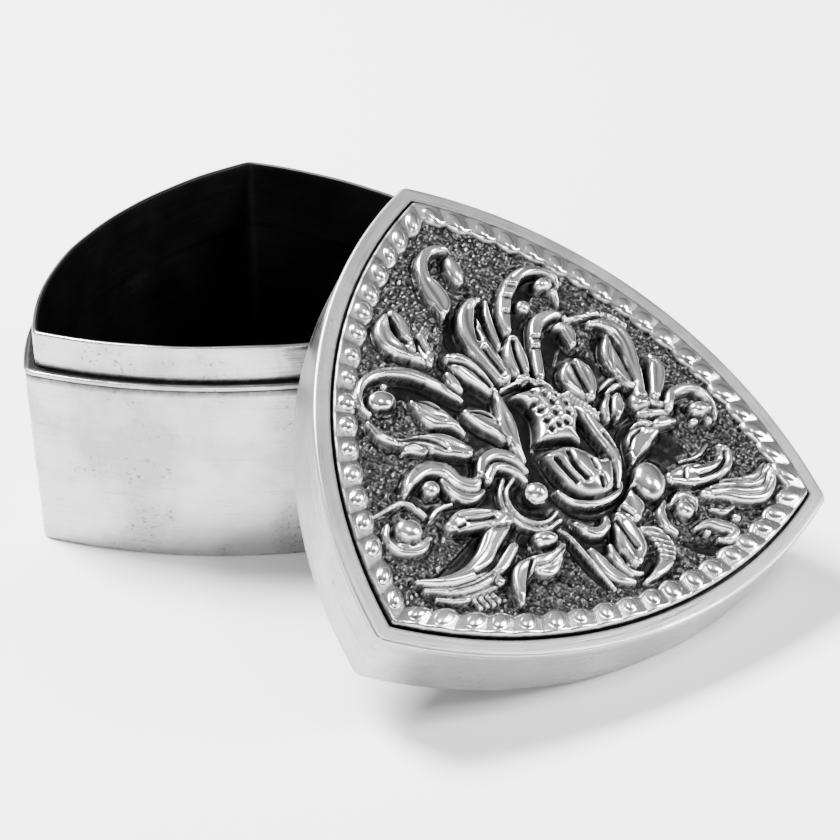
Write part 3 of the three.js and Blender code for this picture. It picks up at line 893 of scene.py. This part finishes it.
def silver(name, clean, dark, rough, brushed, smudge, dents):
    """Silver, darkened where the mesh says (tarnish, and painted shade in the creases by the collar),
    brushed along its grain, with smudges, pits and dents.
    """
    n = Nodes(name)
    place = n.add("ShaderNodeTexCoord").outputs["Object"]
    grain = n.add("ShaderNodeAttribute", attribute_name="grain").outputs["Vector"]
    tarnish_and_shade = n.add("ShaderNodeAttribute", attribute_name="tarnish_and_shade").outputs["Fac"]
    clouds = n.noise(place, CLOUDS, 3.0, 0.5)
    specks = n.noise(place, SPECKS, 5.0, 0.65)
    lines = n.add("ShaderNodeVectorMath", {0: grain, 1: BRUSH_LINES}, operation="MULTIPLY")
    streaks = n.noise(lines.outputs[0], 1.0, 6.0, 0.7)
    breakup = n.ranged(specks, 0.3, 0.7, -0.16, 0.16)
    shade = n.math("ADD", tarnish_and_shade, n.math("MULTIPLY", breakup, n.ranged(tarnish_and_shade, 0, 0.6, 0.25, 1)))
    clean_part = n.math("SUBTRACT", 1.0, n.ranged(shade, 0.0, 1.0, 0.0, 1.0))
    shade = n.math("SUBTRACT", 1.0, n.math("POWER", clean_part, 2.3))
    patches = n.math("MULTIPLY", n.noise(place, PATCHES, 4.0, 0.6), 0.6)
    patches = n.math("ADD", patches, n.math("MULTIPLY", clouds, 0.4))
    soiled = n.ranged(patches, 0.43, 0.55, 0.0, smudge)
    bright = n.mixed(soiled, grey(clean), grey(clean * 0.6, 0.004))
    bright = n.mixed(n.ranged(streaks, 0.35, 0.7, 0.0, brushed * 0.5), bright, grey(clean * 0.7))
    bright = n.mixed(n.ranged(streaks, 0.58, 0.68, 0.0, brushed * 0.8), bright, grey(clean * 0.3))
    pits = n.ranged(n.noise(place, PITS, 2.0, 0.5), 0.6, 0.7, 0.0, smudge)
    pits = n.math("MULTIPLY", pits, n.ranged(clouds, 0.53, 0.61, 0.0, 1.0))
    bright = n.mixed(pits, bright, grey(clean * 0.25))
    n.plug("Base Color", n.mixed(shade, bright, grey(dark)))
    n.shader.inputs["Metallic"].default_value = 1.0
    wear = n.ranged(clouds, 0.3, 0.7, rough * 0.75, rough * 1.35)
    wear = n.math("ADD", wear, n.ranged(streaks, 0.3, 0.7, -0.04, 0.10 * (0.3 + brushed)))
    wear = n.math("ADD", wear, n.math("MULTIPLY", shade, 0.22))
    n.plug("Roughness", wear)
    soft = n.noise(place, DENTS, 2.0, 0.4)
    relief = n.math("MULTIPLY", soft, dents)
    relief = n.math("ADD", relief, n.math("MULTIPLY", streaks, brushed * 0.35))
    relief = n.math("ADD", relief, n.math("MULTIPLY", specks, 0.05 + 0.2 * dents))
    bump = n.add("ShaderNodeBump", {"Strength": 0.35, "Distance": 0.00025, "Height": relief})
    n.plug("Normal", bump.outputs[0])
    return n.material


def floor_material():
    n = Nodes("pale_floor")
    place = n.add("ShaderNodeTexCoord").outputs["Object"]
    cloth = n.noise(place, 9.0, 3.0, 0.55)
    n.plug("Base Color", n.mixed(n.ranged(cloth, 0.3, 0.7, 0, 1), grey(0.95), grey(0.975)))
    n.shader.inputs["Roughness"].default_value = 0.8
    n.shader.inputs["Specular IOR Level"].default_value = 0.2
    return n.material


# Each finish: clean grey, grey for tarnish and painted shade, roughness, brushing, smudges and dents, then
# its slot.
POLISHED = (silver("polished_silver", 0.5, 0.02, 0.2, 0.5, 0.9, 0.6), "polished_silver")
BRUSHED = (silver("brushed_silver", 0.54, 0.02, 0.27, 0.8, 0.7, 0.4), "polished_silver")
SATIN = (silver("satin_silver", 0.54, 0.02, 0.32, 1.0, 0.5, 0.2), "satin_silver")
CHASED = (silver("chased_silver", 0.97, 0.012, 0.17, 0.0, 0.25, 0.35), "oxidised_silver")


# ---------------- box


def inner_shade(vertices, inset, fade):
    """Darkening for points deeper than an inset from the plan's edge: tarnish, and painted shade on the
    ledge.
    """
    depth = inset_at(vertices[:, 0], vertices[:, 1])
    return np.clip((depth - inset) / fade + 0.5, 0, 1)


def strip(outer, inner, bottom, top, radii, longest):
    """The section of a bent strip between two insets, with eased corners."""
    section = [(outer, bottom), (inner, bottom), (inner, top), (outer, top)]
    return subdivided(rounded(section, radii), longest)


def build_box():
    section = strip(WALL_OUT, WALL_IN, 0, WALL_TOP, (0.4, 0.1, 0.08, 0.12), 0.7)
    wall = sweep(section, BOX_CORNER, tapered)
    make_piece("box_wall", wall, "box", ["body_wall"], POLISHED, wall_shade(wall[0]))

    # Painted shade: the ledge darkens towards the collar, in the crease where the two meet.
    ledge = sweep(strip(0, LEDGE_IN, WALL_TOP, LEDGE_Z, (0.17, 0.05, 0.05, 0.17), 0.15),
                  BOX_CORNER)
    make_piece("ledge", ledge, "box", ["seat_rim"], POLISHED, 0.9 * inner_shade(ledge[0], 0.45, 0.3))

    section = strip(COLLAR_OUT, COLLAR_IN, COLLAR_FOOT, COLLAR_TOP, (0.1, 0.1, 0.25, 0.25), 0.5)
    collar = sweep(section, BOX_CORNER, collar_worked)
    make_piece("collar_strip", collar, "box", ["collar"], POLISHED, collar_shade(collar[0]))

    base = plate(BASE_INSET, BOX_CORNER, 0, BASE_THICKNESS, 0.2)
    base[0][:, :2] *= FOOT_SCALE
    upper_side = (base[0][:, 2] > BASE_THICKNESS / 2) * 0.95
    make_piece("base", base, "box", ["base_plate"], SATIN, upper_side)


def wall_shade(vertices):
    """Black inside, and a fine dark line just under the ledge."""
    inside = inner_shade(vertices, 0.85, 0.3) * (vertices[:, 2] > 0.3)
    under_ledge_line = np.clip((vertices[:, 2] - WALL_TOP + 0.22) / 0.15, 0, 1)
    return np.clip(inside + 0.8 * under_ledge_line, 0, 1)


def collar_worked(vertices):
    """The collar's rim rises and falls a little, as hand-cut strip does."""
    worked = vertices.copy()
    rim = np.clip((vertices[:, 2] - 20) / 2, 0, 1)
    worked[:, 2] += waves(vertices, per_mm=0.16, height=0.12) * rim
    return worked


def collar_shade(vertices):
    """Black inside, and painted shade in the crease where the strip meets the ledge."""
    inside = inner_shade(vertices, 1.42, 0.12)
    # Painted shade: the strip darkens at its foot, in the crease against the ledge.
    foot = np.clip(1 - (vertices[:, 2] - LEDGE_Z) / 0.3, 0, 1)
    return np.clip(inside + foot, 0, 1)


# ---------------- lid


def build_lid():
    section = strip(0, SKIRT_THICKNESS, -SKIRT_DEPTH, SKIRT_TOP, (0.25, 0.15, 0.05, 0.08), 0.5)
    skirt = sweep(section, LID_CORNER, skirt_worked)
    shade = 0.9 * inner_shade(skirt[0], 0.45, 0.15)
    make_piece("lid_wall", skirt, "lid", ["lid_skirt"], BRUSHED, shade)

    rim = sweep(strip(0, FRAME_WIDTH, FRAME_BACK, 0, (0.05, 0.05, 0.14, 0.32), 0.2))
    shade = inner_shade(rim[0], FRAME_WIDTH - 0.1, 0.2) * 0.9
    make_piece("lid_rim", rim, "lid", ["lid_frame"], SATIN, shade)

    relief = draw_relief()
    sheet, shade = closed_relief(relief)
    make_piece("lid_relief", sheet, "lid", ["lid_panel"], CHASED, shade, sharp=180)

    border, shade = border_mesh()
    make_piece("lid_beading", border, "lid", ["lid_panel"], CHASED, shade, sharp=60)

    lining = plate(LINING_INSET, LID_CORNER, LINING_BACK, PANEL_BACK, 0.1, 60, pressed_back(relief))
    shade = np.full(len(lining[0]), 0.85)
    make_piece("lid_lining", lining, "lid", ["lid_panel"], CHASED, shade)

    berry = berry_mesh()
    shade = np.clip(0.55 - berry[0][:, 2] * 0.7, 0, 0.9)
    make_piece("berry", berry, "lid_carrier", ["lid_berry"], CHASED, shade)


def skirt_worked(vertices):
    """The skirt bulges and dips a little from hand work."""
    worked = vertices.copy()
    swell = waves(vertices, per_mm=0.13, height=0.07, offset=(9, 4, 2))
    worked[:, :2] += outwards(vertices) * swell[:, None]
    return worked


def pressed_back(relief):
    """The hollows that the raised forms leave on the inside of the lid."""
    soft = blurred(relief.z, 0.5)

    def sag(vertices):
        worked = vertices.copy()
        under = vertices[:, 2] < (LINING_BACK + PANEL_BACK) / 2
        columns = np.clip(np.searchsorted(relief.x, vertices[:, 0]), 0, len(relief.x) - 1)
        rows = np.clip(np.searchsorted(relief.y, vertices[:, 1]), 0, len(relief.y) - 1)
        inside = inset_at(vertices[:, 0], vertices[:, 1]) > 2.5
        press = np.clip(soft[rows, columns] * 0.45, 0, 0.42)
        worked[:, 2] += np.where(under & inside, press, 0)
        return worked

    return sag


def berry_mesh():
    """A round berry with a slightly hand-worked surface."""
    work = bmesh.new()
    bmesh.ops.create_icosphere(work, subdivisions=5, radius=BERRY_RADIUS)
    vertices = np.array([v.co for v in work.verts], float)
    faces = [tuple(v.index for v in f.verts) for f in work.faces]
    work.free()
    vertices *= 1 - np.abs(waves(vertices, per_mm=1.6, height=0.03))[:, None]
    vertices += np.array(BERRY)
    return vertices, faces, vertices


# ---------------- stage


def build_floor():
    mesh = bpy.data.meshes.new("floor")
    reach = 1.2
    corners = [(-reach, -reach, 0), (reach, -reach, 0), (reach, reach, 0), (-reach, reach, 0)]
    mesh.from_pydata(corners, [], [(0, 1, 2, 3)])
    mesh.materials.append(floor_material())
    floor = bpy.data.objects.new("floor", mesh)
    bpy.context.scene.collection.objects.link(floor)


def add_light(name, location, size, power, target=(0.0, -0.02, 0.01)):
    """A soft rectangular light, in metres and watts."""
    light = bpy.data.lights.new(name, "AREA")
    light.shape = "RECTANGLE"
    light.size, light.size_y = size
    light.energy = power
    lamp = bpy.data.objects.new(name, light)
    lamp.location = location
    aim = Vector(target) - Vector(location)
    lamp.rotation_euler = aim.to_track_quat("-Z", "Y").to_euler()
    bpy.context.scene.collection.objects.link(lamp)


# The room's brightness from straight down, 0, past the horizon, 0.5, to straight up, 1.
BRIGHTNESS = ((0.45, 0.9), (0.54, 0.75), (0.62, 0.28), (0.74, 0.12), (0.84, 0.26), (0.93, 0.44),
              (1.0, 0.58))


def build_world():
    """A room that is pale low down and overhead, with a darker band between for the metal to pick up."""
    world = bpy.data.worlds.new("studio")
    world.use_nodes = True
    tree = world.node_tree
    background = tree.nodes["Background"]
    ramp = tree.nodes.new("ShaderNodeValToRGB")
    coordinates = tree.nodes.new("ShaderNodeTexCoord")
    split = tree.nodes.new("ShaderNodeSeparateXYZ")
    shift = tree.nodes.new("ShaderNodeMapRange")
    shift.inputs["From Min"].default_value = -1.0
    tree.links.new(coordinates.outputs["Generated"], split.inputs[0])
    tree.links.new(split.outputs["Z"], shift.inputs[0])
    tree.links.new(shift.outputs[0], ramp.inputs[0])
    tree.links.new(ramp.outputs[0], background.inputs[0])
    stops = ramp.color_ramp.elements
    stops[0].position, stops[1].position = BRIGHTNESS[0][0], BRIGHTNESS[-1][0]
    for position, _ in BRIGHTNESS[1:-1]:
        stops.new(position)
    for stop, (_, value) in zip(stops, BRIGHTNESS):
        stop.color = grey(value)
    background.inputs["Strength"].default_value = 0.9
    bpy.context.scene.world = world


def build_camera():
    """The view from in front and above; its axes and place were fitted to the object's outlines."""
    right = Vector((0.98999, -0.14086, -0.00907))
    up = Vector((0.07268, 0.45364, 0.88822))
    back = right.cross(up)
    place = Matrix((right, up, back)).transposed().to_4x4()
    place.translation = Vector((-16.16, -228.4, 121.95)) * MM
    camera = bpy.data.cameras.new("camera")
    camera.lens = 105.0
    camera.sensor_width = 36.0
    camera.clip_start = 0.01
    holder = bpy.data.objects.new("camera", camera)
    holder.matrix_world = place
    bpy.context.scene.collection.objects.link(holder)
    bpy.context.scene.camera = holder


build_box()
build_lid()
build_floor()
build_world()
add_light("key", (-0.24, 0.2, 0.48), (0.22, 0.22), 17.0, target=(0.0, -0.02, 0.0))
add_light("front", (-0.25, -0.7, 0.25), (0.5, 0.2), 4.0)
add_light("right", (0.5, -0.15, 0.3), (0.1, 0.3), 4.2)
add_light("spark", (0.17, -0.17, 0.43), (0.07, 0.07), 0.8, target=(0.01, -0.03, 0.01))
build_camera()
